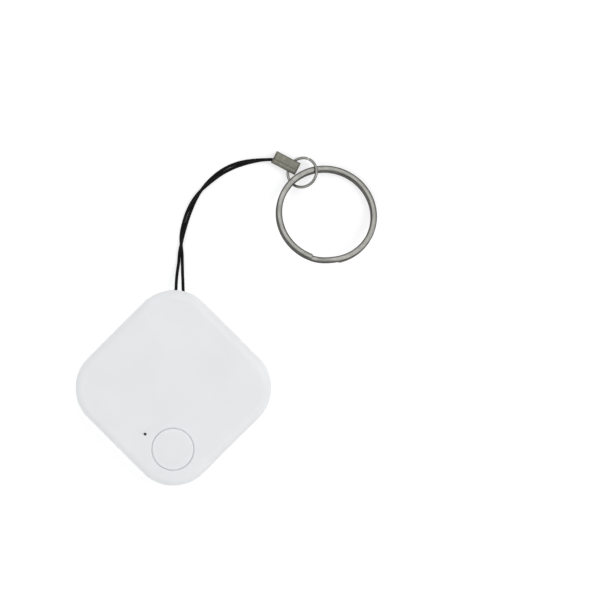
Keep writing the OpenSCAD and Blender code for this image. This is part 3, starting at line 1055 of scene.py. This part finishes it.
class TAG_OT_board(bpy.types.Operator):
    """Finish of the circuit board: mask, tracks, printed outlines and cut edge"""

    bl_idname = "tracker_tag.board"
    bl_label = "Finish Circuit Board"

    # Printed outlines: middle, half size and turn of each part they go round.
    outlines = (
        ((0.0, -14.9), (2.6, 2.6), 0.0),
        ((6.9, -11.3), (2.1, 2.1), 0.0),
        ((14.2, 5.0), (1.5, 1.5), 0.0),
        ((-13.8, 4.2), (1.25, 1.6), 0.0),
        ((-10.5, 11.0), (3.6, 1.0), 45.0),
        ((10.6, 10.9), (1.5, 1.0), -45.0),
    )

    def execute(self, context):
        mask = tuple(context.scene.tag_case.board_colour)
        f = Finish("board_mask", mask, 0.32, fixed={"IOR": 1.5, "Coat Roughness": 0.15})
        # Tracks follow the edges of large cells, snapped to the board's diagonals.
        diagonal = 0.7071 * MM
        turned = f.join((f.x + f.y) * diagonal, (f.x - f.y) * diagonal, 0.0)
        snapped = f.add("ShaderNodeVectorMath", {"operation": "SNAP"},
                        {0: turned, 1: (0.0008, 0.0008, 0.0008)})
        cells = f.add("ShaderNodeTexVoronoi", {"feature": "F1", "distance": "MANHATTAN"},
                      {"Vector": snapped, "Scale": 260.0}, "Color")
        along = f.split(turned, 1.0 / MM)
        shade = f.add("ShaderNodeSeparateColor", inputs={"Color": cells}, out=0)
        one = ((along[0] / 0.5).fraction() - 0.5).size().ramp(0.20, 0.26)
        two = ((along[1] / 0.5).fraction() - 0.5).size().ramp(0.20, 0.26)
        tracks = (shade < 0.28) * (1.0 - one) + (shade > 0.72) * (1.0 - two)
        vias = f.cells(2.3).ramp(0.10, 0.13)
        on_top = f.z > TOP_FACE
        flat = (on_top + (f.z < UNDER_FACE)).clamped()
        copper = (tracks * 0.55 + (shade > 0.28) * (shade < 0.5) * 0.35).clamped()
        face = f.blend(copper, mask, (0.06, 0.30, 0.15))
        face = f.blend((1.0 - vias) * 0.9, face, (0.62, 0.55, 0.36))
        for middle, half, turn in self.outlines:
            line = (f.box_edge(middle, half, turn) - 0.32).size().ramp(0.05, 0.09)
            face = f.blend((1.0 - line) * on_top * 0.85, face, (0.80, 0.80, 0.78))
        fibre = f.noise(0.25, 2.0, stretch=(6, 6, 1))
        edge = f.blend(fibre, (0.42, 0.40, 0.24), (0.58, 0.55, 0.36))
        f.set("Base Color", f.blend(flat, edge, face))
        f.set("Roughness", 0.65 - 0.33 * flat + 0.05 * fibre)
        f.bump((copper * 0.7 + fibre * 0.1) * flat, 0.03, 0.5)
        dress("circuit_board", f)
        return {"FINISHED"}


class TAG_OT_electronics(bpy.types.Operator):
    """Finishes of the parts soldered to the board, and their joints"""

    bl_idname = "tracker_tag.electronics"
    bl_label = "Finish Electronics"

    # Parts with a metal cap at each end: middle, size and turn, in millimetres.
    capped = (
        ((-10.5, 11.0), (7.0, 2.0, 1.1), 45),
        ((-6.8, -11.2), (1.6, 0.9, 0.3), 0),
        ((10.6, -8.4), (1.0, 0.5, 0.5), 45),
        ((12.2, -6.8), (1.0, 0.5, 0.5), 45),
        ((13.8, -5.2), (1.0, 0.5, 0.5), 45),
        ((9.6, 11.9), (1.6, 0.8, 0.8), -45),
        ((11.6, 9.9), (1.6, 0.8, 0.8), -45),
        ((-9.4, -9.2), (1.0, 0.5, 0.35), -45),
        ((-10.8, -7.8), (1.0, 0.5, 0.35), -45),
        ((-12.2, -6.4), (1.0, 0.5, 0.35), -45),
        ((-13.8, 4.2), (2.5, 3.2, 0.3), 0),
        ((-11.9, -4.0), (2.0, 1.2, 0.25), -50),
        ((14.2, 5.0), (3.0, 3.0, 0.4), 0),
    )

    def solder(self, finish):
        """Metal end caps, the solder at their feet, and the chip's pads."""
        pieces = []
        for middle, size, turn in self.capped:
            cap = min(0.3, size[0] * 0.24)
            for end in (-1, 1):
                shape = gather([self.cap(size, cap), self.fillet(size)])
                spin = turn + (180 if end < 0 else 0)
                pieces.append(self.placed(shape, middle, spin))
        for side in range(4):
            for k in range(7):
                foot = rounded_box((1.93, -0.12, -0.01), (2.22, 0.12, 0.1), 0.03, 2)
                shape = ([p + Vector((0, (k - 3) * 0.5, 0)) for p in foot[0]], foot[1])
                pieces.append(self.placed(shape, (6.9, -11.3), 90 * side))
        for x in (-2.6, 2.6):
            for y in (-1.9, 1.9):
                pad = rounded_box((-0.55, -0.45, -0.01), (0.55, 0.45, 0.14), 0.06, 2)
                pieces.append(self.placed(pad, (x * 1.13, -14.9 + y), 0))
        points, faces = gather(pieces)
        crisp(new_piece("solder_joints", points, faces, finish, "rear_case"))

    def placed(self, shape, middle, turn):
        place = Matrix.Translation((middle[0], middle[1], BOARD_TOP)) @ Matrix.Rotation(
            math.radians(turn), 4, "Z")
        return [place @ p * MM for p in shape[0]], shape[1]

    def cap(self, size, reach):
        """A thin cap over the +X end of a part."""
        half, wide, high = size[0] / 2, size[1] / 2, size[2]
        return rounded_box((half - reach, -wide - 0.02, -0.01),
                           (half + 0.03, wide + 0.02, high + 0.02), 0.03, 2)

    def fillet(self, size):
        """Solder drawn up the +X end of a part in a hollow curve."""
        half, wide = size[0] / 2 + 0.02, size[1] / 2 * 0.86
        high, out, steps = size[2] * 0.62, 0.26, 6
        outline = [(half, 0.0)]
        for i in range(steps + 1):
            t = math.pi / 2 * i / steps
            outline.append((half + out * (1 - math.sin(t)), high * (1 - math.cos(t))))
        points = [Vector((x, y, z)) for y in (-wide, wide) for x, z in outline]
        return points, prism_faces(len(outline))

    def snap_dome(self, finish):
        """Thin sprung disc under the plunger, which flattens when it is pressed; here it is built
        in its rest shape only.
        """
        profile = [(0.0, 0.36), (0.4, 0.345), (0.7, 0.3), (1.0, 0.22), (1.2, 0.16),
                   (1.4, 0.07), (1.6, 0.0), (1.65, 0.0), (1.65, 0.08), (1.45, 0.14),
                   (1.25, 0.24), (1.0, 0.31), (0.75, 0.38), (0.4, 0.425), (0.0, 0.44)]
        base, sides = BOARD_TOP + 0.45, 48
        inner = profile[1:-1]
        points = [
            Vector((BUTTON_AT[0] + r * math.cos(a), BUTTON_AT[1] + r * math.sin(a), base + z)) * MM
            for a in (2 * math.pi * k / sides for k in range(sides)) for r, z in inner
        ]
        count = len(inner)
        low, top = len(points), len(points) + 1
        points += [Vector((*BUTTON_AT, base + z)) * MM for z in (0.36, 0.44)]
        faces = []
        for k in range(sides):
            a, b = k * count, (k + 1) % sides * count
            faces += [(a + i, b + i, b + i + 1, a + i + 1) for i in range(count - 1)]
            faces += [(low, b, a), (top, a + count - 1, b + count - 1)]
        dome = new_piece("snap_dome", points, faces, finish, "rear_case")
        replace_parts(dome, "switch_dome")
        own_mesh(dome)

    def winding(self):
        """Copper wire wound flat in the top of the inductor."""
        copper = plated_metal("winding_copper", (0.72, 0.34, 0.16), 0.28, (1, 1, 1), 0.1, 0.1)
        turns, sides, wire = 5, 8, 0.075
        path = []
        for i in range(turns * 36 + 1):
            a = 2 * math.pi * i / 36
            r = 0.28 + 0.155 * i / 36
            path.append(Vector((14.2 + r * math.cos(a), 5.0 + r * math.sin(a),
                                BOARD_TOP + 1.25 + wire)))
        points = []
        for i, p in enumerate(path):
            ahead, behind = path[min(i + 1, len(path) - 1)], path[max(i - 1, 0)]
            along = (ahead - behind).normalized()
            across = Vector((0, 0, 1)).cross(along)
            for k in range(sides):
                t = 2 * math.pi * k / sides
                spread = wire * (math.cos(t) * across + math.sin(t) * Vector((0, 0, 1)))
                points.append((p + spread) * MM)
        new_piece("inductor_winding", points, rings_to_faces(len(path), sides), copper,
                  "rear_case")

    def execute(self, context):
        tin = plated_metal("part_tin", (0.72, 0.71, 0.69), 0.3, (4, 1, 1), 0.1, 0.15)
        epoxy = moulded_plastic("chip_epoxy", (0.025, 0.026, 0.028), 0.5, 0.06, 0.006)
        moulding = moulded_plastic("black_moulding", (0.02, 0.02, 0.022), 0.45)
        ceramic = moulded_plastic("pale_ceramic", (0.78, 0.75, 0.66), 0.4, 0.05, 0.003)
        brown = moulded_plastic("brown_ceramic", (0.36, 0.24, 0.13), 0.35, 0.05, 0.003)
        ferrite = moulded_plastic("ferrite", (0.055, 0.055, 0.06), 0.6, 0.08, 0.008)
        lens = moulded_plastic("led_lens", (0.85, 0.83, 0.62), 0.18, 0.2, 0.001)
        for node in ("board_screws", "switch_cover", "main_crystal", "clock_crystal"):
            dress(node, tin)
        self.solder(tin)
        self.winding()
        self.snap_dome(tin)
        dress("radio_chip", epoxy)
        dress("resistors", epoxy)
        dress("switch_base", moulding)
        dress("switch_plunger", moulding)
        dress("chip_antenna", ceramic)
        dress("capacitors", brown)
        dress("boost_inductor", ferrite)
        dress("indicator_led", lens)
        return {"FINISHED"}


class TAG_OT_buzzer(bpy.types.Operator):
    """Finishes of the piezo buzzer under the coin cell"""

    bl_idname = "tracker_tag.buzzer"
    bl_label = "Finish Buzzer"

    def execute(self, context):
        brass = turned_metal("buzzer_brass", (0.78, 0.60, 0.30), 0.3, CELL_AT)
        silvered = moulded_plastic("buzzer_ceramic", (0.80, 0.78, 0.72), 0.45, 0.05, 0.003)
        foam = moulded_plastic("gasket_foam", (0.03, 0.03, 0.03), 0.85, 0.15, 0.03)
        dress("piezo_plate", brass)
        dress("piezo_ceramic", silvered)
        dress("piezo_gasket", foam)
        return {"FINISHED"}


# ---------------------------------------------------------------- panel

STEPS = (
    TAG_OT_stage,
    TAG_OT_lanyard,
    TAG_OT_crimp,
    TAG_OT_rings,
    TAG_OT_declare,
    TAG_OT_case,
    TAG_OT_cell,
    TAG_OT_board,
    TAG_OT_electronics,
    TAG_OT_buzzer,
)
GROUPS = (
    ("tag_case", CaseSettings),
    ("tag_cord", CordSettings),
    ("tag_rings", RingSettings),
    ("tag_stage", StageSettings),
)


class TAG_PT_panel(bpy.types.Panel):
    """Settings and steps of the tracker tag"""

    bl_idname = "TAG_PT_panel"
    bl_label = "Tracker Tag"
    bl_space_type = "VIEW_3D"
    bl_region_type = "UI"
    bl_category = "Tracker Tag"

    def draw(self, context):
        for name, group in GROUPS:
            box = self.layout.box()
            for key in group.__annotations__:
                box.prop(getattr(context.scene, name), key)
        for step in STEPS:
            self.layout.operator(step.bl_idname)


def register():
    for _, group in GROUPS:
        bpy.utils.register_class(group)
    for step in STEPS:
        bpy.utils.register_class(step)
    bpy.utils.register_class(TAG_PT_panel)
    for name, group in GROUPS:
        setattr(bpy.types.Scene, name, bpy.props.PointerProperty(type=group))


def unregister():
    for name, _ in GROUPS:
        delattr(bpy.types.Scene, name)
    bpy.utils.unregister_class(TAG_PT_panel)
    for step in reversed(STEPS):
        bpy.utils.unregister_class(step)
    for _, group in reversed(GROUPS):
        bpy.utils.unregister_class(group)


def main():
    register()
    for step in STEPS:
        getattr(bpy.ops.tracker_tag, step.bl_idname.split(".")[1])()


if __name__ == "__main__":
    main()
